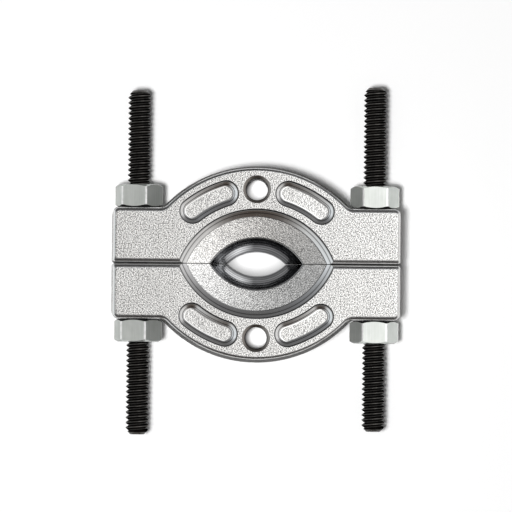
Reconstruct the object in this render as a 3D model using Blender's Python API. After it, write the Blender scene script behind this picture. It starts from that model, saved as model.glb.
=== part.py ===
"""Bearing separator: two forged half plates with a turned knife-edged eye, drawn together
on two long threaded studs by four hexagon nuts. It lies flat, +Z up, studs along Y."""

import math

import bmesh
import bpy
from mathutils import Vector

# Half plate
THICKNESS = 0.0200
STUD_X = 0.0439
EAR_LAND = 0.0104
EAR_END = STUD_X + EAR_LAND
EAR_FACE = 0.0206
EYE_AXIS = 0.0109
ARC_RADIUS = 0.0478
FLANK_FILLET = 0.0030
EAR_CORNER = 0.0032
SPLIT_CORNER = 0.0010
FOOT_ROUND = 0.0008
TOP_ROUND = 0.0016
FACE_ROUND_SCALE = 1.36
DRAFT = math.radians(3.4)
SEAM = 0.0003

# Turned eye, as radius from its axis and height
RIM_RADIUS = 0.0153
RIM_LAND = 0.0012
BREAK_RADIUS = 0.0179
BREAK_HEIGHT = THICKNESS - 0.0102
MOUTH_RADIUS = 0.0204
MOUTH_HEIGHT = THICKNESS - 0.0049
FLOOR_RADIUS = 0.0279
FLOOR_HEIGHT = THICKNESS - 0.0023
STEP_RADIUS = 0.0308
EDGE_BREAK = 0.0003
# Points of the cove from the floor up to the step, as shares of its run and its rise
COVE = ((0.20, 0.12), (0.50, 0.42))

# Relief pockets and puller hole
POCKET_INSET = 0.0093
POCKET_RADIUS = ARC_RADIUS - POCKET_INSET
POCKET_FROM = math.radians(17.5)
POCKET_TO = math.radians(38.4)
POCKET_HALF_WIDTH = 0.0046
POCKET_FLOOR_HALF_WIDTH = 0.0023
POCKET_DEPTH = 0.0020
PULLER_WALL = 0.0095
PULLER_DISTANCE = ARC_RADIUS - EYE_AXIS - PULLER_WALL
PULLER_RADIUS = 0.00403
PULLER_CHAMFER = 0.00095

# Studs
STUD_LENGTH = 0.1280
STUD_STAGGER = 0.00085
STUD_RADIUS = 0.0043
STUD_PITCH = 0.00192
THREAD_DEPTH = 0.00105
STUD_END_RADIUS = 0.0027
STUD_END_CHAMFER = 0.0019
STUD_CLEARANCE = 0.0004

# Nuts
NUT_FLATS = 0.0160
NUT_HEIGHT = 0.0084
NUT_FACE_RADIUS = 0.0076
NUT_CLEARANCE = 0.00015
NUT_COUNTERSINK = 0.0005
NUT_SEAT_GAP = 0.0003
NUT_CHAMFER = math.radians(30.0)
FLAT_SIDE_UP = math.radians(30.0)
SPOT_FACE_MARGIN = 0.00056
SPOT_FACE_RADIUS = NUT_FLATS / math.sqrt(3) + SPOT_FACE_MARGIN
SPOT_FACE_DEPTH = 0.0002
LEFT_NUT_TURN = math.radians(-12.0)

# The studs sit a little to the rear of the split, so the split lies off the middle of the whole
SPLIT_Y = -0.00115
STUD_Z = THICKNESS / 2

PLATING = (0.72, 0.71, 0.68)
ZINC = (0.60, 0.63, 0.60)
BLACK_OXIDE = (0.03, 0.03, 0.032)

# How far a cutter reaches past what it cuts, and the facets of each round form
OVERRUN = 0.0010

CORNER_STEPS = 4
FILLET_STEPS = 4
ARC_STEPS = 22
EYE_STEPS = 96
ROUND_STEPS = 5
FOOT_STEPS = 2
BORE_STEPS = 24
PULLER_STEPS = 36
POCKET_STEPS = 12
POCKET_END_STEPS = 10
NUT_STEPS = 30
THREAD_STEPS = 12
SOFT_EDGE = math.radians(28.0)
THREAD_EDGE = math.radians(40.0)


def clear_scene():
    for obj in list(bpy.data.objects):
        bpy.data.objects.remove(obj, do_unlink=True)


def metal(name, colour, roughness):
    material = bpy.data.materials.new(name)
    material.use_nodes = True
    shader = material.node_tree.nodes["Principled BSDF"]
    shader.inputs["Base Color"].default_value = (*colour, 1.0)
    shader.inputs["Metallic"].default_value = 1.0
    shader.inputs["Roughness"].default_value = roughness
    material.diffuse_color = (*colour, 1.0)
    return material


def loft(name, rings):
    """A closed solid skinned over rings of equal point count, with a flat cap at each end."""
    mesh = bpy.data.meshes.new(name)
    shape = bmesh.new()
    rows = [[shape.verts.new(point) for point in ring] for ring in rings]
    count = len(rows[0])
    for low, high in zip(rows, rows[1:]):
        for i in range(count):
            j = (i + 1) % count
            shape.faces.new((low[i], low[j], high[j], high[i]))
    shape.faces.new(rows[0])
    shape.faces.new(rows[-1])
    bmesh.ops.recalc_face_normals(shape, faces=shape.faces)
    shape.to_mesh(mesh)
    shape.free()
    obj = bpy.data.objects.new(name, mesh)
    bpy.context.scene.collection.objects.link(obj)
    return obj


def circle_upright(x, y, radius, z, steps):
    turns = [2 * math.pi * i / steps for i in range(steps)]
    return [(x + radius * math.cos(a), y + radius * math.sin(a), z) for a in turns]


def circle_along_y(x, z, radius, y, steps):
    turns = [2 * math.pi * i / steps for i in range(steps)]
    return [(x + radius * math.sin(a), y, z + radius * math.cos(a)) for a in turns]


def arc(x, y, radius, start, end, steps):
    turns = [start + (end - start) * i / steps for i in range(steps + 1)]
    return [(x + radius * math.cos(a), y + radius * math.sin(a)) for a in turns]


def apply_booleans(obj, cuts, operation="DIFFERENCE"):
    """Runs the Booleans, keeps the result as the object's own mesh and drops the cutters."""
    for cutter in cuts:
        cutter.hide_render = True
        cutter.display_type = "WIRE"
        step = obj.modifiers.new(cutter.name, "BOOLEAN")
        step.operation = operation
        step.solver = "EXACT"
        step.object = cutter
    graph = bpy.context.evaluated_depsgraph_get()
    result = bpy.data.meshes.new_from_object(obj.evaluated_get(graph))
    obj.modifiers.clear()
    obj.data = result
    for cutter in cuts:
        bpy.data.objects.remove(cutter, do_unlink=True)


def shade(obj, angle=SOFT_EDGE):
    obj.data.shade_smooth()
    obj.data.set_sharp_from_angle(angle=angle)
    weighted = obj.modifiers.new("face_weighted_normals", "WEIGHTED_NORMAL")
    weighted.keep_sharp = True


def half_outline(side_in, face_in, split_in):
    """Plan outline of a half plate, drawn in by a distance for its sides, ear faces and split."""
    end = EAR_END - side_in
    face = EAR_FACE - face_in
    radius = ARC_RADIUS - side_in
    fillet = FLANK_FILLET + side_in
    corner = EAR_CORNER - side_in
    rise = face + fillet + EYE_AXIS
    reach = math.sqrt((radius + fillet) ** 2 - rise**2)
    tangent = math.atan2(rise, reach)
    low = split_in + SPLIT_CORNER
    right = arc(end - SPLIT_CORNER, low, SPLIT_CORNER, -math.pi / 2, 0, CORNER_STEPS)
    right += arc(end - corner, face - corner, corner, 0, math.pi / 2, CORNER_STEPS)
    foot = arc(reach, face + fillet, fillet, -math.pi / 2, tangent - math.pi, FILLET_STEPS)
    right += foot[:-1]
    right += arc(0, -EYE_AXIS, radius, tangent, math.pi / 2, ARC_STEPS)
    left = [(-x, y) for x, y in reversed(right[:-1])]
    return right + left


def half_levels():
    """Heights of the outline sections, each with its round-over and its draft."""
    levels = []
    for i in range(FOOT_STEPS + 1):
        turn = math.pi / 2 * i / FOOT_STEPS
        levels.append((FOOT_ROUND * (1 - math.cos(turn)), FOOT_ROUND * (1 - math.sin(turn)), 0))
    shoulder = THICKNESS - TOP_ROUND
    drawn = (shoulder - FOOT_ROUND) * math.tan(DRAFT)
    for i in range(ROUND_STEPS + 1):
        turn = math.pi / 2 * i / ROUND_STEPS
        height = shoulder + TOP_ROUND * math.sin(turn)
        levels.append((height, TOP_ROUND * (1 - math.cos(turn)), drawn))
    return levels


def half_blank(name):
    rings = []
    for height, rounding, drawn in half_levels():
        outline = half_outline(
            drawn + rounding, rounding * FACE_ROUND_SCALE, rounding * FACE_ROUND_SCALE
        )
        rings.append([(x, y, height) for x, y in outline])
    return loft(name, rings)


def eye_cutter():
    """The turned eye: rim land, two steep cones, the gently sloped floor and its coved step."""
    slope = (FLOOR_HEIGHT - MOUTH_HEIGHT) / (FLOOR_RADIUS - MOUTH_RADIUS)
    cone = (MOUTH_HEIGHT - BREAK_HEIGHT) / (MOUTH_RADIUS - BREAK_RADIUS)
    cove = STEP_RADIUS - FLOOR_RADIUS
    wall = THICKNESS - FLOOR_HEIGHT
    profile = [
        (RIM_RADIUS, -OVERRUN),
        (RIM_RADIUS, RIM_LAND),
        (BREAK_RADIUS, BREAK_HEIGHT),
        (MOUTH_RADIUS - EDGE_BREAK, MOUTH_HEIGHT - EDGE_BREAK * cone),
        (MOUTH_RADIUS + EDGE_BREAK, MOUTH_HEIGHT + EDGE_BREAK * slope),
        (FLOOR_RADIUS - EDGE_BREAK, FLOOR_HEIGHT - EDGE_BREAK * slope),
    ]
    profile += [(FLOOR_RADIUS + run * cove, FLOOR_HEIGHT + rise * wall) for run, rise in COVE]
    profile.append((STEP_RADIUS, THICKNESS - EDGE_BREAK))
    profile.append((STEP_RADIUS + EDGE_BREAK + OVERRUN, THICKNESS + OVERRUN))
    rings = [circle_upright(0, -EYE_AXIS, radius, z, EYE_STEPS) for radius, z in profile]
    return loft("eye_cut", rings)


def slot_outline(half_width, z):
    """A slot bent round the eye's axis, with round ends."""

    def along(radius, turn):
        return (radius * math.sin(turn), radius * math.cos(turn) - EYE_AXIS)

    def cap(turn, start):
        x, y = along(POCKET_RADIUS, turn)
        begin = start - turn
        return arc(x, y, half_width, begin, begin - math.pi, POCKET_END_STEPS)[1:-1]

    sweep = (POCKET_TO - POCKET_FROM) / POCKET_STEPS
    turns = [POCKET_FROM + sweep * i for i in range(POCKET_STEPS + 1)]
    points = [along(POCKET_RADIUS + half_width, turn) for turn in turns]
    points += cap(POCKET_TO, math.pi / 2)
    points += [along(POCKET_RADIUS - half_width, turn) for turn in reversed(turns)]
    points += cap(POCKET_FROM, -math.pi / 2)
    return [(x, y, z) for x, y in points]


def pocket_cutter(side):
    floor = THICKNESS - POCKET_DEPTH
    lean = (POCKET_HALF_WIDTH - POCKET_FLOOR_HALF_WIDTH) / POCKET_DEPTH
    sections = [
        (POCKET_FLOOR_HALF_WIDTH - EDGE_BREAK, floor),
        (POCKET_FLOOR_HALF_WIDTH + EDGE_BREAK * lean, floor + EDGE_BREAK),
        (POCKET_HALF_WIDTH - EDGE_BREAK * lean, THICKNESS - EDGE_BREAK),
        (POCKET_HALF_WIDTH + EDGE_BREAK + OVERRUN / 2, THICKNESS + OVERRUN / 2),
    ]
    rings = []
    for half_width, z in sections:
        rings.append([(side * x, y, height) for x, y, height in slot_outline(half_width, z)])
    return loft("pocket_cut", rings)


def puller_cutter():
    profile = [
        (PULLER_RADIUS + EDGE_BREAK + OVERRUN, -OVERRUN),
        (PULLER_RADIUS, EDGE_BREAK),
        (PULLER_RADIUS, THICKNESS - PULLER_CHAMFER),
        (PULLER_RADIUS + PULLER_CHAMFER + OVERRUN, THICKNESS + OVERRUN),
    ]
    rings = [circle_upright(0, PULLER_DISTANCE, r, z, PULLER_STEPS) for r, z in profile]
    return loft("puller_cut", rings)


def stud_bore_cutter(side):
    """Clearance bore for a stud, opening into the spot face that the nut bears on."""
    bore = STUD_RADIUS + STUD_CLEARANCE
    seat = EAR_FACE - SPOT_FACE_DEPTH
    profile = [
        (bore, -OVERRUN),
        (bore, seat - EDGE_BREAK),
        (bore + EDGE_BREAK, seat),
        (SPOT_FACE_RADIUS, seat),
        (SPOT_FACE_RADIUS, seat + 2 * NUT_HEIGHT),
    ]
    rings = [circle_along_y(side * STUD_X, STUD_Z, r, y, BORE_STEPS) for r, y in profile]
    return loft("stud_bore_cut", rings)


def half_plate(name, facing, material):
    """One half, its split face at local y = 0; facing is 1 for the rear half, -1 for the front."""
    plate = half_blank(name)
    cuts = [eye_cutter(), puller_cutter()]
    for side in (-1, 1):
        cuts += [pocket_cutter(side), stud_bore_cutter(side)]
    apply_booleans(plate, cuts)
    plate.data.materials.clear()
    plate.data.materials.append(material)
    plate.location = (0, SPLIT_Y + facing * SEAM / 2, 0)
    plate.rotation_euler = (0, 0, 0 if facing > 0 else math.pi)
    shade(plate)
    return plate


def helical_bar(length):
    """A right-hand V thread along Y, closed by a cone beyond each end."""
    root = STUD_RADIUS - THREAD_DEPTH
    first = -length / 2 - 2 * STUD_PITCH
    turns = math.ceil((length + 4 * STUD_PITCH) / STUD_PITCH)
    count = turns * THREAD_STEPS
    shape = bmesh.new()
    roots = []
    crests = []
    for i in range(count + THREAD_STEPS + 1):
        turn = 2 * math.pi * i / THREAD_STEPS
        y = first + STUD_PITCH * i / THREAD_STEPS
        out = Vector((math.sin(turn), 0, math.cos(turn)))
        roots.append(shape.verts.new(out * root + Vector((0, y, 0))))
        if i <= count:
            crests.append(shape.verts.new(out * STUD_RADIUS + Vector((0, y + STUD_PITCH / 2, 0))))
    for i in range(count):
        shape.faces.new((roots[i], roots[i + 1], crests[i + 1], crests[i]))
        above = i + THREAD_STEPS
        shape.faces.new((crests[i], crests[i + 1], roots[above + 1], roots[above]))
    near = shape.verts.new((0, first - STUD_PITCH, 0))
    far = shape.verts.new((0, first + STUD_PITCH * (turns + 2), 0))
    low = roots[: THREAD_STEPS + 1] + [crests[0]]
    high = roots[count:] + [crests[count]]
    for tip, loop in ((near, low), (far, high)):
        for i, vert in enumerate(loop):
            shape.faces.new((tip, vert, loop[(i + 1) % len(loop)]))
    bmesh.ops.recalc_face_normals(shape, faces=shape.faces)
    mesh = bpy.data.meshes.new("helical_bar")
    shape.to_mesh(mesh)
    shape.free()
    return mesh


def stud(name, side, material):
    """A fully threaded stud, cut to length with a chamfer at each end."""
    bar = bpy.data.objects.new(name, helical_bar(STUD_LENGTH))
    bpy.context.scene.collection.objects.link(bar)
    end = STUD_LENGTH / 2
    slope = (STUD_RADIUS - STUD_END_RADIUS) / STUD_END_CHAMFER
    wide = STUD_RADIUS + OVERRUN
    run = (wide - STUD_END_RADIUS) / slope
    profile = [
        (STUD_END_RADIUS, -end),
        (wide, run - end),
        (wide, end - run),
        (STUD_END_RADIUS, end),
    ]
    envelope = loft("envelope", [circle_along_y(0, 0, r, y, BORE_STEPS) for r, y in profile])
    apply_booleans(bar, [envelope], "INTERSECT")
    bar.data.materials.clear()
    bar.data.materials.append(material)
    bar.location = (side * STUD_X, side * STUD_STAGGER, STUD_Z)
    shade(bar, THREAD_EDGE)
    return bar


def nut(name, side, facing, material):
    """A hexagon nut chamfered on both faces, its seat at local y = 0."""
    corner = NUT_FLATS / math.sqrt(3)
    over = NUT_HEIGHT + OVERRUN
    prism = []
    for y in (-OVERRUN, over):
        prism.append(circle_along_y(0, 0, corner, y, 6))
    body = loft(name, prism)
    wide = corner + OVERRUN / 2
    rise = (wide - NUT_FACE_RADIUS) * math.tan(NUT_CHAMFER)
    cone = [
        (NUT_FACE_RADIUS, 0),
        (wide, rise),
        (wide, NUT_HEIGHT - rise),
        (NUT_FACE_RADIUS, NUT_HEIGHT),
    ]
    chamfers = loft("chamfers", [circle_along_y(0, 0, r, y, NUT_STEPS) for r, y in cone])
    apply_booleans(body, [chamfers], "INTERSECT")
    bore = STUD_RADIUS + NUT_CLEARANCE
    mouth = bore + NUT_COUNTERSINK
    holes = [
        (mouth + OVERRUN, -OVERRUN),
        (bore, NUT_COUNTERSINK),
        (bore, NUT_HEIGHT - NUT_COUNTERSINK),
        (mouth + OVERRUN, over),
    ]
    hole = loft("nut_bore", [circle_along_y(0, 0, r, y, BORE_STEPS) for r, y in holes])
    apply_booleans(body, [hole])
    body.data.materials.clear()
    body.data.materials.append(material)
    seat = SEAM / 2 + EAR_FACE - SPOT_FACE_DEPTH + NUT_SEAT_GAP
    body.location = (side * STUD_X, SPLIT_Y + facing * seat, STUD_Z)
    turn = FLAT_SIDE_UP
    if side < 0:
        turn += facing * LEFT_NUT_TURN
    body.rotation_euler = (0, turn, 0 if facing > 0 else math.pi)
    shade(body)
    return body


def build():
    clear_scene()
    for place, facing in (("rear", 1), ("front", -1)):
        plate_name = f"{place}_half"
        half_plate(plate_name, facing, metal(plate_name, PLATING, 0.38))
        for hand, side in (("left", -1), ("right", 1)):
            nut_name = f"nut_{place}_{hand}"
            nut(nut_name, side, facing, metal(nut_name, ZINC, 0.30))
    for hand, side in (("left", -1), ("right", 1)):
        stud_name = f"stud_{hand}"
        stud(stud_name, side, metal(stud_name, BLACK_OXIDE, 0.45))


build()
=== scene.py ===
import math

import bmesh
import bpy
from mathutils import Matrix, Vector


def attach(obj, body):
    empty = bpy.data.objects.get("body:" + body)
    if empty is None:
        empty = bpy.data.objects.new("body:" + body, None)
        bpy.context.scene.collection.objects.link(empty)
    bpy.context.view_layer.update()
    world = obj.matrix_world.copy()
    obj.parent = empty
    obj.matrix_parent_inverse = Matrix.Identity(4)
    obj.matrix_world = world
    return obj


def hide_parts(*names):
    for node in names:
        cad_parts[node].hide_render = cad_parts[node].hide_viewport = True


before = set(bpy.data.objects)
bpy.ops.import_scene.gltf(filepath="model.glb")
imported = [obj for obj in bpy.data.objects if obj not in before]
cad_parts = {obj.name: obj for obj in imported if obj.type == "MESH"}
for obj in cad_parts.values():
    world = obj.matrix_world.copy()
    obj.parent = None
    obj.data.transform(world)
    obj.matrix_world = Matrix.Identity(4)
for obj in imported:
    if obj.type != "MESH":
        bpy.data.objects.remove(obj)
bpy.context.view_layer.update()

# Sizes of the plates, in metres. A pair is a radius round the eye's axis and a height.
THICKNESS = 0.0200
MID_Z = THICKNESS / 2
STUD_X = 0.0439
EAR_END = 0.0543
EAR_FACE = 0.0206
EYE_AXIS = 0.0109
ARC_RADIUS = 0.0475
FLANK_FILLET = 0.0030
EAR_CORNER = 0.0032
SPLIT_CORNER = 0.0010
FOOT_ROUND = 0.0008
TOP_ROUND = 0.0016
FACE_ROUND_SCALE = 1.36
DRAFT = math.radians(3.4)
SEAM = 0.0003
SPLIT_Y = -0.00115
RIM = (0.0153, 0.0012)
BREAK = (0.0179, 0.0098)
MOUTH = (0.0204, 0.0151)
FLOOR = (0.0279, 0.0177)
STEP_RADIUS = 0.0308
POCKET_RADIUS = 0.0385
POCKET_FROM = math.radians(17.5)
POCKET_TO = math.radians(38.4)
POCKET_HALF_WIDTH = 0.0046
POCKET_FLOOR_HALF_WIDTH = 0.0026
POCKET_DEPTH = 0.0016
PULLER_DISTANCE = 0.0274
PULLER_RADIUS = 0.00403
PULLER_CHAMFER = 0.00095
PULLER_PITCH = 0.00127
STUD_BORE = 0.0047
SPOT_FACE_RADIUS = 0.0098
SEAT = EAR_FACE - 0.0002

# Short facets that soften the corners of the eye's profile, as steps from each corner
RIM_EASE = ((0.0, -0.0002), (0.0001, 0.0002))
BREAK_EASE = ((-0.0001, -0.0003), (0.0002, 0.0003))
MOUTH_EASE = ((-0.0004, -0.00085), (-0.0001, -0.0002))
MOUTH_RUN = 0.0003

# The sloped walls of the step and the pockets: the slope in degrees and the width of each facet
COVE = ((8, 0.00020), (24, 0.00014))
ROUNDING = ((15, 0.00012), (28, 0.00024), (28.5, 0.00024), (33, 0.00026))
STEP_FOOT_SHIFT = 0.0001
STEP_RIM_SHIFT = 0.0005
POCKET_RIM_SHIFT = 0.0004
# Depths below the face of a band of painted shade on the walls of the step and the pockets
SHADE_BAND_DEPTHS = (0.0004, 0.0016)
TURNING_PITCH = 0.0020

# Sizes of the studs and the nuts, in metres
STUD_LENGTH = 0.1280
STUD_STAGGER = 0.00085
STUD_RADIUS = 0.0043
STUD_PITCH = 0.00192
THREAD_DEPTH = 0.00105
ROOT_RADIUS = STUD_RADIUS - THREAD_DEPTH
STUD_END_RADIUS = 0.0027
STUD_END_CHAMFER = 0.0019
NUT_FLATS = 0.0160
NUT_HEIGHT = 0.0084
NUT_FACE_RADIUS = 0.0076
NUT_FACE_ANGLE = math.radians(30)
NUT_BORE = 0.00445
NUT_BORE_CHAMFER = 0.0005
NUT_EDGE = 0.0005
NUT_SEAT_GAP = 0.0003
NUT_TURN = math.radians(30)
LEFT_NUT_TURN = math.radians(-12.0)
END_EASE = 0.0002
OVER = 0.0010

# What the camera sees
PIXELS = 512
PIXEL_SIZE = 0.00037


# Materials


def greys(*pairs):
    """Stops of a colour ramp from pairs of a place and a grey level."""
    return [(place, (level, level, level)) for place, level in pairs]


class Nodes:
    """Short ways to add nodes; a value is a socket or a plain number."""

    def __init__(self, tree):
        self.nodes = tree.nodes
        self.links = tree.links

    def node(self, kind, **settings):
        made = self.nodes.new(kind)
        for key, value in settings.items():
            setattr(made, key, value)
        return made

    def link(self, out, into):
        self.links.new(out, into)

    def split(self, vector):
        made = self.node("ShaderNodeSeparateXYZ")
        self.link(vector, made.inputs["Vector"])
        return made.outputs

    def span(self, value, low, high, to_low, to_high):
        """The value carried from one range to another, and held at its ends."""
        made = self.node("ShaderNodeMapRange")
        keys = ("From Min", "From Max", "To Min", "To Max")
        for key, number in zip(keys, (low, high, to_low, to_high)):
            made.inputs[key].default_value = number
        self.link(value, made.inputs["Value"])
        return made.outputs["Result"]

    def math(self, kind, a, b=0.0):
        made = self.node("ShaderNodeMath", operation=kind)
        for socket, value in zip(made.inputs, (a, b)):
            if isinstance(value, (int, float)):
                socket.default_value = value
            else:
                self.link(value, socket)
        return made.outputs["Value"]

    def times(self, a, b):
        return self.math("MULTIPLY", a, b)

    def distance(self, a, b):
        squares = self.math("ADD", self.times(a, a), self.times(b, b))
        return self.math("SQRT", squares)

    def hump(self, value, rise, fall, end):
        """Rises from 0 to 1 over one range of the value and falls to an end level over another."""
        return self.times(self.span(value, *rise, 0.0, 1.0), self.span(value, *fall, 1.0, end))

    def colours(self, value, stops):
        made = self.node("ShaderNodeValToRGB")
        ramp = made.color_ramp
        while len(ramp.elements) < len(stops):
            ramp.elements.new(0.5)
        for element, (place, colour) in zip(ramp.elements, stops):
            element.position = place
            element.color = (*colour, 1.0)
        self.link(value, made.inputs["Fac"])
        return made.outputs["Color"]

    def mix(self, share, first, second, blend="MIX"):
        made = self.node("ShaderNodeMix", data_type="RGBA", blend_type=blend)
        sockets = (made.inputs[0], made.inputs[6], made.inputs[7])
        for socket, value in zip(sockets, (share, first, second)):
            if isinstance(value, (int, float)):
                socket.default_value = value
            elif isinstance(value, tuple):
                socket.default_value = (*value, 1.0)
            else:
                self.link(value, socket)
        return made.outputs[2]


class Tree(Nodes):
    """The nodes of a new material round its one shader."""

    def __init__(self, name):
        self.material = bpy.data.materials.new(name)
        self.material.use_nodes = True
        super().__init__(self.material.node_tree)
        self.shader = self.nodes["Principled BSDF"]

    def put(self, key, value):
        """Give the shader's input a number, a grey or colour tuple, or a socket."""
        socket = self.shader.inputs[key]
        if isinstance(value, (int, float)):
            socket.default_value = value
        elif isinstance(value, tuple):
            socket.default_value = (*value, 1.0)
        else:
            self.link(value, socket)

    def coords(self):
        return self.node("ShaderNodeTexCoord").outputs["Object"]

    def place(self):
        """The x, y and z of a point in the piece's own axes."""
        return self.split(self.coords())

    def facing(self):
        """The x, y and z of the surface's direction in the piece's own axes."""
        return self.split(self.node("ShaderNodeTexCoord").outputs["Normal"])

    def noise(self, scale, detail=2.0, rough=0.5, vector=None):
        made = self.node("ShaderNodeTexNoise")
        made.inputs["Scale"].default_value = scale
        made.inputs["Detail"].default_value = detail
        made.inputs["Roughness"].default_value = rough
        self.link(vector or self.coords(), made.inputs["Vector"])
        return made.outputs["Fac"]

    def bump(self, height, strength, distance, under=None):
        made = self.node("ShaderNodeBump")
        if isinstance(strength, (int, float)):
            made.inputs["Strength"].default_value = strength
        else:
            self.link(strength, made.inputs["Strength"])
        made.inputs["Distance"].default_value = distance
        self.link(height, made.inputs["Height"])
        if under:
            self.link(under, made.inputs["Normal"])
        return made.outputs["Normal"]


def forged_skin(name, with_edge_shade):
    """Bright plating over the sandy skin of a forging. Where edge shade is asked for, the walls and
    roundings that face forward or back carry painted shade, dark and with less metallic shine."""
    t = Tree(name)
    grain = t.noise(2100, 2.0, 0.6)
    fine = t.noise(4200, 1.0, 0.5)
    drift = t.noise(60, 2.0, 0.5)
    _, north, up = t.facing()
    upright = t.span(up, 0.30, 0.45, 1.0, 0.0)
    flat = t.math("MAXIMUM", t.span(up, 0.90, 0.935, 0.0, 1.0), upright)
    speck = 0.27 if with_edge_shade else 0.50
    stops = greys((0.40, speck)) + [(0.49, (0.86, 0.86, 0.85)), (0.59, (1.0, 1.0, 0.99))]
    tone = t.mix(flat, (0.84, 0.84, 0.83), t.colours(grain, stops))
    tone = t.mix(t.span(drift, 0.3, 0.7, 0.0, 0.12), tone, (0.70, 0.68, 0.64))
    t.put("Metallic", 1.0)
    if with_edge_shade:
        # Painted shade: walls and roundings facing forward or back are painted dark, with a dark line
        # along the rounded rims.
        level = t.math("MAXIMUM", t.math("SUBTRACT", 1.0, t.times(up, up)), 0.00001)
        lean = t.math("SQRT", level)
        fore_aft_shade = t.math("DIVIDE", t.math("ABSOLUTE", north), lean)
        fore_aft_shade = t.times(t.span(fore_aft_shade, 0.40, 0.70, 0.0, 1.0), t.span(lean, 0.10, 0.17, 0.0, 1.0))
        fore_aft_shade_tone = [(0.46, (0.19, 0.187, 0.182))]
        fore_aft_shade_tone += greys((0.62, 0.72), (0.80, 0.80), (0.87, 0.24), (0.965, 0.24), (0.985, 0.9))
        tone = t.mix(fore_aft_shade, tone, t.colours(up, fore_aft_shade_tone))
        # Dark pits on the steep walls: partly real pits in the grain, partly painted shade.
        pits_and_wall_shade = t.times(upright, t.span(grain, 0.40, 0.60, 0.45, 0.0))
        tone = t.mix(pits_and_wall_shade, tone, (0.12, 0.12, 0.12))
        # Share of painted shade on the steep walls facing forward or back, where the metallic shine is
        # taken away.
        scale = t.times(fore_aft_shade, t.span(up, 0.48, 0.60, 1.0, 0.0))
        t.put("Metallic", t.span(scale, 0.0, 1.0, 1.0, 0.18))
        t.put("Specular IOR Level", 0.0)
        t.put("Specular Tint", (0.4, 0.4, 0.4))
    t.put("Base Color", tone)
    t.put("Roughness", t.span(grain, 0.3, 0.7, 0.20, 0.13))
    low = t.bump(drift, 0.4, 0.0008)
    coarse = t.bump(grain, t.span(flat, 0.0, 1.0, 0.10, 1.0), 0.00018, low)
    t.put("Normal", t.bump(fine, t.span(flat, 0.0, 1.0, 0.05, 0.5), 0.00006, coarse))
    return t.material


def lathe_rings(t, slant):
    """Value that changes only with the distance from the eye's axis and the height."""
    x, y, z = t.place()
    radius = t.distance(x, t.math("ADD", y, EYE_AXIS))
    return t.math("ADD", radius, t.times(z, slant))


def smooth_step():
    """The plated, nearly mirror-smooth walls of the step and the pockets, with a painted dark line of
    shade along their rounded rims and a painted band of shade part of the way down."""
    t = Tree("smooth_step")
    marks = t.noise(900, 3.0, 0.6, lathe_rings(t, 0.9))
    blotch = t.noise(260, 2.0, 0.5)
    tone = t.colours(marks, [(0.35, (0.74, 0.74, 0.735)), (0.65, (0.92, 0.92, 0.92))])
    # Painted shade: a dark line along the rounded rims of the walls.
    rim = greys((0.845, 1.0), (0.87, 0.20), (0.955, 0.22), (0.975, 1.0))
    tone = t.mix(1.0, tone, t.colours(t.facing()["Z"], rim), "MULTIPLY")
    # Painted shade: a dark band part of the way down the walls.
    top, bottom = SHADE_BAND_DEPTHS
    height = t.span(t.place()["Z"], THICKNESS - bottom, THICKNESS - top, 0.0, 1.0)
    shade_band_tone = greys((0.22, 1.0), (0.32, 0.28), (0.44, 0.28), (0.54, 1.0))
    t.put("Base Color", t.mix(1.0, tone, t.colours(height, shade_band_tone), "MULTIPLY"))
    t.put("Roughness", t.span(blotch, 0.3, 0.7, 0.08, 0.15))
    t.put("Metallic", 1.0)
    wide = t.bump(blotch, 0.5, 0.00010)
    t.put("Normal", t.bump(marks, 0.4, 0.00004, wide))
    return t.material


def turned_wall(name, lit):
    """Very dark steel with the rings that a lathe tool leaves round the eye's axis, with a painted
    highlight on one side; lit is +1 or -1 for the side of its x axis."""
    t = Tree(name)
    rings = lathe_rings(t, 0.55)
    broad = t.noise(420, 2.0, 0.6, rings)
    blotch = t.noise(170, 2.0, 0.5)
    wave = t.math("SINE", t.times(rings, 2 * math.pi / TURNING_PITCH))
    uneven = t.times(t.span(wave, -1.0, 1.0, 0.0, 0.60), t.span(blotch, 0.3, 0.7, 0.6, 1.0))
    line = t.math("ADD", uneven, t.span(broad, 0.3, 0.7, 0.0, 0.42))
    dark = [
        (0.15, (0.022, 0.023, 0.025)),
        (0.42, (0.075, 0.077, 0.081)),
        (0.65, (0.17, 0.172, 0.18)),
        (0.88, (0.36, 0.365, 0.38)),
    ]
    x, _, height = t.place()
    # Painted highlight: a bright patch on the lit side, in a belt part of the way up the wall.
    side = t.hump(t.times(x, lit), (0.0010, 0.0060), (0.0120, 0.0170), 0.6)
    highlight_belt = t.hump(height, (0.0020, 0.0050), (0.0085, 0.0125), 0.25)
    painted_highlight = t.times(t.times(side, highlight_belt), t.span(line, 0.15, 0.50, 0.40, 1.0))
    t.put("Base Color", t.mix(painted_highlight, t.colours(line, dark), (0.97, 0.98, 1.0)))
    t.put("Roughness", t.span(blotch, 0.3, 0.7, 0.12, 0.22))
    t.put("Metallic", 1.0)
    t.put("Specular Tint", (0.6, 0.6, 0.6))
    t.put("Normal", t.bump(line, 0.3, 0.0001))
    return t.material


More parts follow.
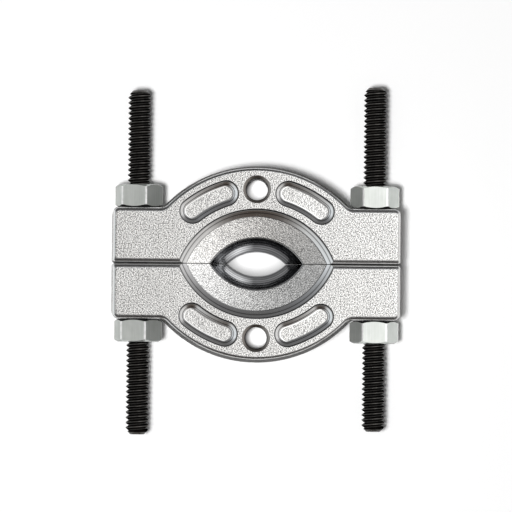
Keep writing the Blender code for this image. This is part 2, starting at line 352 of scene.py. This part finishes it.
def tapped_bore():
    """Steel for the puller holes, painted dark down the hole as painted shade and lighter on its
    chamfer, with the ridges of a tapped thread as bumps and as painted bands of light and shade.
    """
    t = Tree("tapped_bore")
    height = t.place()["Z"]
    # Painted light and shade: the colour runs from dark to light with each ridge of the thread, and
    # stays dark down the hole.
    ridge = t.math("SINE", t.times(height, 2 * math.pi / PULLER_PITCH))
    ridge_shade_tones = [(0.2, (0.020, 0.017, 0.014)), (0.9, (0.16, 0.14, 0.12))]
    tone = t.colours(t.span(ridge, -1.0, 1.0, 0.0, 1.0), ridge_shade_tones)
    foot = THICKNESS - PULLER_CHAMFER
    chamfer = t.span(height, foot, foot + 0.00025, 0.0, 1.0)
    t.put("Base Color", t.mix(chamfer, tone, (0.30, 0.28, 0.26)))
    t.put("Metallic", 1.0)
    t.put("Specular Tint", (0.1, 0.1, 0.1))
    t.put("Roughness", 0.28)
    t.put("Normal", t.bump(ridge, t.span(chamfer, 0.0, 1.0, 0.8, 0.0), 0.0003))
    return t.material


def machined_bore():
    """The drilled bores for the studs, and the spot faces under the nuts, painted near black as painted
    shade.
    """
    t = Tree("machined_bore")
    marks = t.noise(1400, 2.0, 0.5)
    tone = t.colours(marks, [(0.35, (0.42, 0.40, 0.37)), (0.65, (0.56, 0.54, 0.50))])
    # Painted shade: the spot faces under the nuts are painted near black and lose their metallic shine.
    seat_face_shade = t.span(t.facing()["Y"], 0.6, 0.8, 0.0, 1.0)
    t.put("Base Color", t.mix(seat_face_shade, tone, (0.05, 0.048, 0.045)))
    t.put("Metallic", t.span(seat_face_shade, 0.0, 1.0, 1.0, 0.0))
    t.put("Specular IOR Level", 0.0)
    t.put("Roughness", 0.26)
    t.put("Normal", t.bump(marks, 0.4, 0.00005))
    return t.material


def black_oxide():
    """Oiled black oxide, grey along the crests and roots: wear on the crests and a painted highlight
    along both.
    """
    t = Tree("black_oxide")
    film = t.noise(420, 3.0, 0.6)
    fine = t.noise(2600, 2.0, 0.6)
    x, _, z = t.place()
    radius = t.distance(x, z)
    # Grey lines along the crests and roots: partly wear on the crests, partly painted highlight.
    crest = t.span(radius, STUD_RADIUS - 0.00012, STUD_RADIUS - 0.00003, 0.0, 1.0)
    valley = t.span(radius, ROOT_RADIUS + 0.00006, ROOT_RADIUS + 0.00016, 1.0, 0.0)
    wear_and_highlight = t.times(t.math("MAXIMUM", crest, valley), t.span(film, 0.3, 0.7, 0.55, 1.0))
    black = t.colours(film, [(0.35, (0.0015, 0.0015, 0.0016)), (0.70, (0.005, 0.004, 0.0035))])
    t.put("Base Color", t.mix(wear_and_highlight, black, (0.11, 0.106, 0.10)))
    t.put("Roughness", t.span(film, 0.3, 0.7, 0.22, 0.36))
    t.put("Metallic", t.span(wear_and_highlight, 0.0, 1.0, 0.0, 0.9))
    t.put("Specular IOR Level", 0.0)
    t.put("Normal", t.bump(fine, 0.4, 0.00003))
    return t.material


def zinc_plate():
    """Satin zinc with faint drawn streaks along each flat, painted near black as painted shade where it
    faces its seat.
    """
    t = Tree("zinc_plate")
    cloud = t.noise(200, 2.0, 0.5)
    x, y, z = t.place()
    drawn = t.node("ShaderNodeCombineXYZ")
    for key, value in zip("XYZ", (x, t.times(y, 0.04), z)):
        t.link(value, drawn.inputs[key])
    streak = t.noise(1900, 2.0, 0.6, drawn.outputs["Vector"])
    tone = t.colours(cloud, [(0.32, (0.61, 0.64, 0.61)), (0.68, (0.71, 0.74, 0.705))])
    tone = t.mix(t.span(streak, 0.35, 0.65, 0.0, 0.30), tone, (0.90, 0.91, 0.90))
    # Painted shade: the side facing the seat is painted near black and loses its metallic shine.
    seat = t.span(t.facing()["Y"], -0.45, -0.25, 1.0, 0.0)
    t.put("Base Color", t.mix(seat, tone, (0.03, 0.03, 0.03)))
    t.put("Metallic", t.span(seat, 0.0, 1.0, 0.7, 0.2))
    t.put("Specular IOR Level", 0.0)
    t.put("Specular Tint", (0.45, 0.45, 0.45))
    t.put("Roughness", t.span(streak, 0.3, 0.7, 0.16, 0.22))
    t.put("Normal", t.bump(streak, 0.30, 0.00004))
    return t.material


def zinc_edge():
    """The nuts' edges, painted bright as a painted highlight."""
    t = Tree("zinc_edge")
    highlight_mottle = t.noise(700, 2.0, 0.5)
    # Painted highlight: the eased edges are painted near white.
    t.put("Base Color", t.colours(highlight_mottle, [(0.35, (0.80, 0.82, 0.80)), (0.60, (1.0, 1.0, 1.0))]))
    t.put("Roughness", t.span(highlight_mottle, 0.3, 0.7, 0.22, 0.14))
    t.put("Metallic", 0.6)
    t.put("Normal", t.bump(highlight_mottle, 0.3, 0.00004))
    return t.material


# Shapes


def add_object(name, mesh):
    obj = bpy.data.objects.new(name, mesh)
    bpy.context.scene.collection.objects.link(obj)
    return obj


def loft(name, rings, materials, band=None):
    """A closed solid skinned over rings; band(i) gives the material index of the i-th band."""
    mesh = bpy.data.meshes.new(name)
    shape = bmesh.new()
    rows = [[shape.verts.new(point) for point in ring] for ring in rings]
    count = len(rows[0])
    for n, (low, high) in enumerate(zip(rows, rows[1:])):
        for i in range(count):
            j = (i + 1) % count
            face = shape.faces.new((low[i], low[j], high[j], high[i]))
            face.material_index = band(n) if band else 0
    shape.faces.new(rows[0])
    shape.faces.new(rows[-1])
    bmesh.ops.recalc_face_normals(shape, faces=shape.faces)
    shape.to_mesh(mesh)
    shape.free()
    for material in materials:
        mesh.materials.append(material)
    return add_object(name, mesh)


def circle_upright(x, y, radius, z, steps):
    turns = [2 * math.pi * i / steps for i in range(steps)]
    return [(x + radius * math.cos(a), y + radius * math.sin(a), z) for a in turns]


def circle_along_y(x, z, radius, y, steps, turn=0.0):
    turns = [turn + 2 * math.pi * i / steps for i in range(steps)]
    return [(x + radius * math.sin(a), y, z + radius * math.cos(a)) for a in turns]


def arc(x, y, radius, start, end, steps):
    turns = [start + (end - start) * i / steps for i in range(steps + 1)]
    return [(x + radius * math.cos(a), y + radius * math.sin(a)) for a in turns]


def carve(obj, cutters, operation="DIFFERENCE"):
    """Apply Booleans to an object, with the cutters' materials on the new faces."""
    for cutter in cutters:
        step = obj.modifiers.new(cutter.name, "BOOLEAN")
        step.operation = operation
        step.solver = "EXACT"
        step.material_mode = "TRANSFER"
        step.object = cutter
    graph = bpy.context.evaluated_depsgraph_get()
    result = bpy.data.meshes.new_from_object(obj.evaluated_get(graph))
    obj.modifiers.clear()
    obj.data = result
    for cutter in cutters:
        bpy.data.objects.remove(cutter, do_unlink=True)


def shade(obj, angle):
    obj.data.shade_smooth()
    obj.data.set_sharp_from_angle(angle=math.radians(angle))
    obj.modifiers.new("face_weighted_normals", "WEIGHTED_NORMAL").keep_sharp = True


def half_outline(side_in, face_in, split_in):
    """A half seen from above, drawn in by so much at its sides, its nut faces and its split."""
    end = EAR_END - side_in
    face = EAR_FACE - face_in
    radius = ARC_RADIUS - side_in
    fillet = FLANK_FILLET + side_in
    corner = EAR_CORNER - side_in
    rise = face + fillet + EYE_AXIS
    reach = math.sqrt((radius + fillet) ** 2 - rise**2)
    tangent = math.atan2(rise, reach)
    low = split_in + SPLIT_CORNER
    right = arc(end - SPLIT_CORNER, low, SPLIT_CORNER, -math.pi / 2, 0, 8)
    right += arc(end - corner, face - corner, corner, 0, math.pi / 2, 10)
    right += arc(reach, face + fillet, fillet, -math.pi / 2, tangent - math.pi, 12)[:-1]
    right += arc(0, -EYE_AXIS, radius, tangent, math.pi / 2, 64)
    return right + [(-x, y) for x, y in reversed(right[:-1])]


def half_blank(skin):
    """The forged blank: drafted walls, rounded at the foot and at the top."""
    shoulder = THICKNESS - TOP_ROUND
    drawn = (shoulder - FOOT_ROUND) * math.tan(DRAFT)
    levels = []
    for i in range(5):
        turn = math.pi / 2 * i / 4
        levels.append((FOOT_ROUND * (1 - math.cos(turn)), FOOT_ROUND * (1 - math.sin(turn)), 0))
    for i in range(11):
        turn = math.pi / 2 * i / 10
        levels.append((shoulder + TOP_ROUND * math.sin(turn), TOP_ROUND * (1 - math.cos(turn)), drawn))
    rings = []
    for height, rounding, pulled in levels:
        wide = rounding * FACE_ROUND_SCALE
        outline = half_outline(pulled + rounding, wide, wide)
        rings.append([(x, y, height) for x, y in outline])
    return loft("half", rings, [skin])


def soft_wall(foot, height, rim):
    """Points of a sloped wall from its foot up to the plate's face, coved below and rounded above."""
    points = [(foot, height)]
    for angle, run in COVE:
        foot += run
        height += run * math.tan(math.radians(angle))
        points.append((foot, height))
    top = [(rim, THICKNESS)]
    for angle, run in ROUNDING:
        width, level = top[-1]
        top.append((width - run, level - run * math.tan(math.radians(angle))))
    return points + top[::-1]


def eye_cutter(skin, step, turned):
    """Profile up the eye: rim, lower and upper cones, forged floor, coved step with a soft rim."""
    slope = (FLOOR[1] - MOUTH[1]) / (FLOOR[0] - MOUTH[0])
    profile = [(RIM[0], -OVER)]
    for corner, eases in ((RIM, RIM_EASE), (BREAK, BREAK_EASE), (MOUTH, MOUTH_EASE)):
        profile += [(corner[0] + run, corner[1] + rise) for run, rise in eases]
    turned_bands = len(profile) - 1
    profile.append((MOUTH[0] + MOUTH_RUN, MOUTH[1] + MOUTH_RUN * slope))
    floor_band = len(profile) - 1
    rim = STEP_RADIUS + STEP_RIM_SHIFT
    profile += soft_wall(FLOOR[0] + STEP_FOOT_SHIFT, FLOOR[1], rim)
    profile.append((rim + 4 * OVER, THICKNESS + OVER))

    def band(n):
        if n < turned_bands:
            return 2
        return 0 if n == floor_band else 1

    rings = [circle_upright(0, -EYE_AXIS, r, z, 288) for r, z in profile]
    return loft("eye_cut", rings, [skin, step, turned], band)


def slot_outline(side, half_width, z):
    """A slot bent round the eye's axis, on one side of the middle."""

    def along(radius, turn):
        return (radius * math.sin(turn), radius * math.cos(turn) - EYE_AXIS)

    steps = 28
    turns = [POCKET_FROM + (POCKET_TO - POCKET_FROM) * i / steps for i in range(steps + 1)]
    points = [along(POCKET_RADIUS + half_width, turn) for turn in turns]
    x, y = along(POCKET_RADIUS, POCKET_TO)
    begin = math.pi / 2 - POCKET_TO
    points += arc(x, y, half_width, begin, begin - math.pi, 24)[1:-1]
    points += [along(POCKET_RADIUS - half_width, turn) for turn in reversed(turns)]
    x, y = along(POCKET_RADIUS, POCKET_FROM)
    begin = -math.pi / 2 - POCKET_FROM
    points += arc(x, y, half_width, begin, begin - math.pi, 24)[1:-1]
    return [(side * px, py, z) for px, py in points]


def pocket_cutter(side, skin, wall):
    """A shallow pocket with a grained floor, smooth sloped walls and a soft rim."""
    edge = POCKET_HALF_WIDTH + POCKET_RIM_SHIFT
    foot = POCKET_FLOOR_HALF_WIDTH
    bottom = THICKNESS - POCKET_DEPTH
    sections = [(foot - 0.0003, bottom)]
    sections += soft_wall(foot, bottom + 0.00005, edge)
    sections.append((edge + 2 * OVER, THICKNESS + OVER / 2))
    rings = [slot_outline(side, width, z) for width, z in sections]
    return loft("pocket_cut", rings, [skin, wall], lambda n: 1)


def puller_cutter(bore):
    """A puller hole with a small break below and a chamfer on top."""
    mouth = PULLER_RADIUS + PULLER_CHAMFER
    profile = [
        (PULLER_RADIUS + 0.0003 + OVER, -OVER),
        (PULLER_RADIUS, 0.0003),
        (PULLER_RADIUS, THICKNESS - PULLER_CHAMFER),
        (mouth - 0.0001, THICKNESS - 0.0002),
        (mouth + 0.0002, THICKNESS),
        (mouth + 0.0002 + 3 * OVER, THICKNESS + OVER),
    ]
    rings = [circle_upright(0, PULLER_DISTANCE, radius, z, 96) for radius, z in profile]
    return loft("puller_cut", rings, [bore])


def stud_bore_cutter(side, bore):
    """A stud's clearance bore and the spot face under its nut."""
    profile = [
        (STUD_BORE, -OVER),
        (STUD_BORE, SEAT - 0.0003),
        (STUD_BORE + 0.0003, SEAT),
        (SPOT_FACE_RADIUS, SEAT),
        (SPOT_FACE_RADIUS, SEAT + 2 * NUT_HEIGHT),
    ]
    rings = [circle_along_y(side * STUD_X, MID_Z, radius, y, 96) for radius, y in profile]
    return loft("stud_bore_cut", rings, [bore])


def half_shape(skin, floor, step, turned, bore, tapped):
    half = half_blank(skin)
    cutters = [eye_cutter(floor, step, turned), puller_cutter(tapped)]
    for side in (-1, 1):
        cutters += [pocket_cutter(side, floor, step), stud_bore_cutter(side, bore)]
    carve(half, cutters)
    return half


def thread_shape(material):
    """A right-hand thread with flat crests, longer than the stud and closed at its ends."""
    steps = 40
    first = -STUD_LENGTH / 2 - 2 * STUD_PITCH
    turns = math.ceil((STUD_LENGTH + 4 * STUD_PITCH) / STUD_PITCH)
    count = turns * steps
    # Radius and place along the pitch of each line that winds round the stud
    foot, shoulder = ROOT_RADIUS + 0.00008, STUD_RADIUS - 0.00005
    lines = ((ROOT_RADIUS, 0.0), (foot, 0.06), (shoulder, 0.42), (STUD_RADIUS, 0.44))
    lines += ((STUD_RADIUS, 0.56), (shoulder, 0.58), (foot, 0.94))
    shape = bmesh.new()
    rows = []
    for i in range(count + steps + 1):
        turn = 2 * math.pi * i / steps
        y = first + STUD_PITCH * i / steps
        out = Vector((math.sin(turn), 0, math.cos(turn)))
        row = []
        for radius, share in lines if i <= count else lines[:1]:
            row.append(shape.verts.new(out * radius + Vector((0, y + share * STUD_PITCH, 0))))
        rows.append(row)
    for i in range(count):
        for a in range(len(lines) - 1):
            shape.faces.new((rows[i][a], rows[i + 1][a], rows[i + 1][a + 1], rows[i][a + 1]))
        shape.faces.new((rows[i][-1], rows[i + 1][-1], rows[i + steps + 1][0], rows[i + steps][0]))
    near = shape.verts.new((0, first - STUD_PITCH, 0))
    far = shape.verts.new((0, first + STUD_PITCH * (turns + 2), 0))
    low = [rows[i][0] for i in range(steps + 1)] + rows[0][:0:-1]
    high = [rows[i][0] for i in range(count, count + steps + 1)] + rows[count][:0:-1]
    for tip, loop in ((near, low), (far, high)):
        for i, vert in enumerate(loop):
            shape.faces.new((tip, vert, loop[(i + 1) % len(loop)]))
    bmesh.ops.recalc_face_normals(shape, faces=shape.faces)
    mesh = bpy.data.meshes.new("stud")
    shape.to_mesh(mesh)
    shape.free()
    mesh.materials.append(material)
    return add_object("stud", mesh)


def turned_solid(name, profile, material, steps):
    """A solid of revolution about the y axis from pairs of a radius and a place along it."""
    return loft(name, [circle_along_y(0, 0, radius, y, steps) for radius, y in profile], [material])


def stud_shape(material):
    """The thread, trimmed by a chamfered envelope."""
    stud = thread_shape(material)
    end = STUD_LENGTH / 2
    tip = STUD_END_RADIUS - END_EASE
    slope = (STUD_RADIUS - STUD_END_RADIUS) / STUD_END_CHAMFER
    wide = STUD_RADIUS + OVER
    run = (wide - STUD_END_RADIUS) / slope
    profile = [
        (tip, -end),
        (STUD_END_RADIUS, 0.00008 - end),
        (wide, run - end),
        (wide, end - run),
        (STUD_END_RADIUS, end - 0.00008),
        (tip, end),
    ]
    carve(stud, [turned_solid("envelope", profile, material, 72)], "INTERSECT")
    return stud


def nut_shape(material, edge, turn):
    """A hexagon with eased edges and a cone on both faces, bored through."""
    corner = NUT_FLATS / math.sqrt(3)
    ends = [circle_along_y(0, 0, corner, y, 6, turn) for y in (-OVER, NUT_HEIGHT + OVER)]
    body = loft("nut", ends, [material, edge])
    bevel = body.modifiers.new("edges", "BEVEL")
    bevel.width = NUT_EDGE
    bevel.segments = 2
    bevel.material = 1
    wide = corner + OVER / 2
    rise = (wide - NUT_FACE_RADIUS) * math.tan(NUT_FACE_ANGLE)
    face = NUT_FACE_RADIUS - END_EASE
    cones = [
        (face, 0),
        (NUT_FACE_RADIUS, 0.00004),
        (wide, rise),
        (wide, NUT_HEIGHT - rise),
        (NUT_FACE_RADIUS, NUT_HEIGHT - 0.00004),
        (face, NUT_HEIGHT),
    ]
    carve(body, [turned_solid("chamfers", cones, material, 144)], "INTERSECT")
    mouth = NUT_BORE + NUT_BORE_CHAMFER + OVER
    hole = [
        (mouth, -OVER),
        (NUT_BORE, NUT_BORE_CHAMFER),
        (NUT_BORE, NUT_HEIGHT - NUT_BORE_CHAMFER),
        (mouth, NUT_HEIGHT + OVER),
    ]
    carve(body, [turned_solid("nut_bore", hole, material, 72)])
    return body


def place(master, name, matrix, body, node, slot, angle):
    """A copy of a shape in its place, standing for its CAD node."""
    piece = add_object(name, master.data)
    piece.matrix_world = matrix
    shade(piece, angle)
    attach(piece, body)
    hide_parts(node)


def build_object():
    skin, floor = forged_skin("forged_skin", True), forged_skin("forged_floor", False)
    step, bore, tapped = smooth_step(), machined_bore(), tapped_bore()
    stud = stud_shape(black_oxide())
    zinc, edge = zinc_plate(), zinc_edge()
    half_turn = Matrix.Rotation(math.pi, 4, "Z")
    for where, facing in (("rear", 1), ("front", -1)):
        # Each half's turned wall is its own copy, with the painted highlight on the other side.
        wall = turned_wall(f"turned_{where}", -facing)
        half = half_shape(skin, floor, step, wall, bore, tapped)
        spin = Matrix.Identity(4) if facing > 0 else half_turn
        at = Matrix.Translation((0, SPLIT_Y + facing * SEAM / 2, 0)) @ spin
        place(half, f"{where}_half_look", at, f"{where}_plate", f"{where}_half", "plated_forging", 25)
        bpy.data.objects.remove(half, do_unlink=True)
        seat = SPLIT_Y + facing * (SEAM / 2 + SEAT + NUT_SEAT_GAP)
        for hand, side in (("left", -1), ("right", 1)):
            turn = NUT_TURN + (facing * LEFT_NUT_TURN if side < 0 else 0)
            at = Matrix.Translation((side * STUD_X, seat, MID_Z)) @ spin
            nut = nut_shape(zinc, edge, turn)
            name = f"nut_{where}_{hand}"
            place(nut, f"{name}_look", at, f"{where}_{hand}_nut", name, "zinc_plated_steel", 30)
            bpy.data.objects.remove(nut, do_unlink=True)
    for hand, side in (("left", -1), ("right", 1)):
        at = Matrix.Translation((side * STUD_X, side * STUD_STAGGER, MID_Z))
        place(stud, f"stud_{hand}_look", at, "studs", f"stud_{hand}", "black_steel", 35)
    bpy.data.objects.remove(stud, do_unlink=True)


# Floor, light and camera


def sheet_of_floor():
    """A white sheet just under the plates. It glows faintly, and more under the puller holes as painted
    pools of light. Near the eye its colour is darkened by ambient occlusion as painted shade, where a
    wall in front crowds it."""
    size = 3.0
    mesh = bpy.data.meshes.new("floor")
    corners = [(-size, -size, 0), (size, -size, 0), (size, size, 0), (-size, size, 0)]
    mesh.from_pydata(corners, [], [(0, 1, 2, 3)])
    floor = add_object("floor", mesh)
    floor.location.z = -0.00005
    t = Tree("floor_white")
    t.put("Roughness", 1.0)
    t.put("Specular IOR Level", 0.0)
    x, y, _ = t.place()

    # Painted shade: ambient occlusion, leaning to the front left, darkens the floor's colour near the
    # eye.
    shade_lean = t.node("ShaderNodeCombineXYZ")
    for key, share in zip("XYZ", (-0.35, -0.70, 0.62)):
        shade_lean.inputs[key].default_value = share
    shade_occlusion = t.node("ShaderNodeAmbientOcclusion", samples=24)
    shade_occlusion.inputs["Distance"].default_value = 0.0040
    t.link(shade_lean.outputs["Vector"], shade_occlusion.inputs["Normal"])
    off = t.times(t.math("ADD", y, -SPLIT_Y), 2.0)
    outside = t.span(t.distance(off, x), 0.0130, 0.0170, 0.0, 1.0)
    open_sky = t.math("MAXIMUM", t.span(shade_occlusion.outputs["AO"], 0.2, 0.9, 0.22, 1.0), outside)
    t.put("Base Color", t.mix(open_sky, (0.0, 0.0, 0.0), (0.95, 0.95, 0.95)))

    glow = 0.04
    # Painted light: a pool of glow on the floor under each puller hole.
    for centre in (SPLIT_Y + PULLER_DISTANCE, SPLIT_Y - PULLER_DISTANCE):
        reach = t.distance(t.math("ADD", y, -centre), x)
        glow = t.math("ADD", t.span(reach, 0.55 * PULLER_RADIUS, PULLER_RADIUS, 0.70, 0.0), glow)
    path = t.node("ShaderNodeLightPath").outputs
    seen = t.math("MAXIMUM", path["Is Camera Ray"], path["Is Glossy Ray"])
    seen = t.math("MAXIMUM", seen, path["Is Transmission Ray"])
    t.put("Emission Color", (1.0, 1.0, 1.0))
    t.put("Emission Strength", t.times(seen, glow))
    mesh.materials.append(t.material)


def softbox(name, where, size, radiance, glossy=True, diffuse=True, down=False):
    """An area lamp of a given brightness that looks at the object, or straight down."""
    light = bpy.data.lights.new(name, "AREA")
    light.shape = "RECTANGLE"
    light.size, light.size_y = size
    light.energy = radiance * math.pi * size[0] * size[1]
    lamp = add_object(name, light)
    lamp.location = where
    if not down:
        lamp.rotation_euler = (-Vector(where)).to_track_quat("-Z", "Y").to_euler()
    lamp.visible_camera = False
    lamp.visible_glossy = glossy
    lamp.visible_diffuse = diffuse


def world_light():
    """A room as the plating mirrors it: pale boards overhead, a dark band below them, and along
    the horizon bright ends left and right and dark ends before and behind. Only reflections see
    it; the lamps light the floor."""
    world = bpy.data.worlds.new("studio")
    bpy.context.scene.world = world
    world.use_nodes = True
    world.cycles_visibility.diffuse = False
    w = Nodes(world.node_tree)

    def ramp(value, stops, low=-1.0):
        """Colours over a direction's share, from low to 1."""
        placed = [((at - low) / (1.0 - low), colour) for at, colour in stops]
        return w.colours(w.span(value, low, 1.0, 0.0, 1.0), placed)

    def between(start, end):
        """0 below one height of the sky, 1 above another."""
        return ramp(z, greys((start, 0.0), (end, 1.0)), 0.0)

    ways = w.node("ShaderNodeTexCoord").outputs["Generated"]
    x, y, z = w.split(ways)
    level = w.node("ShaderNodeVectorMath", operation="MULTIPLY")
    level.inputs[1].default_value = (1, 1, 0)
    w.link(ways, level.inputs[0])
    heading = w.node("ShaderNodeVectorMath", operation="NORMALIZE")
    w.link(level.outputs[0], heading.inputs[0])
    east, north, _ = w.split(heading.outputs[0])

    left = greys((-0.74, 0.38), (-0.62, 0.46), (-0.40, 0.36), (-0.06, 0.26))
    right = greys((0.02, 0.98), (0.30, 1.10), (0.60, 1.40), (0.74, 1.40))
    depth = (
        (-0.72, (0.70, 0.64, 0.60)),
        (-0.62, (1.10, 1.05, 1.01)),
        (-0.35, (1.00, 0.98, 0.96)),
        (0.35, (1.00, 1.00, 1.00)),
        (0.62, (1.12, 1.12, 1.13)),
        (0.72, (0.70, 0.70, 0.71)),
    )
    overhead = w.mix(1.0, ramp(x, left + right), ramp(y, depth), "MULTIPLY")
    gap_tone = greys((-1.0, 0.05), (-0.7, 0.15), (-0.36, 0.42), (0.36, 0.42), (0.7, 0.22), (1.0, 0.13))
    line_tone = greys((-1.0, 0.25), (-0.7, 0.42), (-0.36, 0.80), (0.36, 0.80), (0.7, 0.32), (1.0, 0.20))
    horizon_tone = (
        (-1.0, (0.085, 0.070, 0.060)),
        (-0.95, (0.13, 0.115, 0.105)),
        (-0.78, (0.66, 0.65, 0.64)),
        (-0.36, (0.80, 0.80, 0.80)),
        (0.36, (0.80, 0.80, 0.81)),
        (0.70, (0.28, 0.28, 0.285)),
        (0.88, (0.17, 0.17, 0.175)),
        (1.0, (0.13, 0.13, 0.13)),
    )
    tint = ramp(east, ((-1.0, (1.02, 1.07, 1.10)), (-0.3, (1.0, 1.0, 1.0)), (1.0, (1.0, 0.99, 0.98))))
    room = w.mix(between(0.34, 0.38), ramp(north, horizon_tone), ramp(north, line_tone))
    room = w.mix(1.0, room, tint, "MULTIPLY")
    room = w.mix(between(0.44, 0.50), room, ramp(north, gap_tone))
    room = w.mix(between(0.66, 0.72), room, overhead)
    background = w.nodes["Background"]
    w.link(room, background.inputs["Color"])
    background.inputs["Strength"].default_value = 1.0


def camera():
    """Looks straight down but for a small lean, from far off."""
    distance, lean, roll = 1.5, math.radians(1.0), math.radians(0.5)
    target = Vector((-0.0002, 0.0017, THICKNESS))
    data = bpy.data.cameras.new("camera")
    data.sensor_width = 36.0
    data.lens = data.sensor_width * distance / (PIXELS * PIXEL_SIZE)
    cam = add_object("camera", data)
    way = Matrix.Rotation(lean, 4, "X") @ Matrix.Rotation(roll, 4, "Z")
    cam.matrix_world = Matrix.Translation(target) @ way @ Matrix.Translation((0, 0, distance))
    bpy.context.scene.camera = cam


build_object()
sheet_of_floor()
world_light()
softbox("fill", (0.0, 0.0, 1.2), (2.0, 2.0), 0.22, glossy=False)
softbox("key", (-0.17, -0.10, 1.25), (0.18, 0.18), 148.0, glossy=False)
softbox("overhead_right", (0.15, 0.0, 0.22), (0.26, 0.36), 0.45, diffuse=False, down=True)
camera()
bpy.context.scene.view_settings.view_transform = "Standard"
